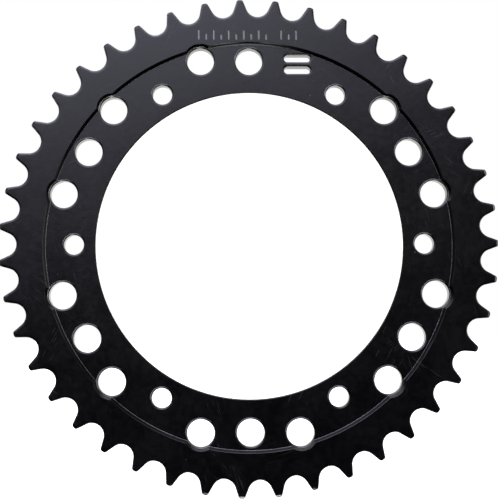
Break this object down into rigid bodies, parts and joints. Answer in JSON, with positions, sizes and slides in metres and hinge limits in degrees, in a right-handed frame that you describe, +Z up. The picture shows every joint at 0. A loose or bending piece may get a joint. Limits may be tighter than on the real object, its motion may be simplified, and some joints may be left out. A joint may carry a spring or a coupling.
{
  "type": "rear sprocket",
  "caption": "Flat toothed steel ring for a motorcycle rear chain drive, with a large hub bore, a bolt circle, lightening holes and a thinner machined web inside the toothed rim.",
  "frame": {"origin": "on the spin axis, in the middle of the teeth's thickness", "axes": "+Y along the spin axis towards the flat back face, which seats on the wheel hub; the front face with the recessed web looks along -Y; +Z up"},
  "size_m": [0.2231, 0.0074, 0.2232],
  "materials": {
    "black_steel": "satin black"
  },
  "bodies": {
    "root": {"sprocket_plate": "black_steel"}
  },
  "joints": []
}
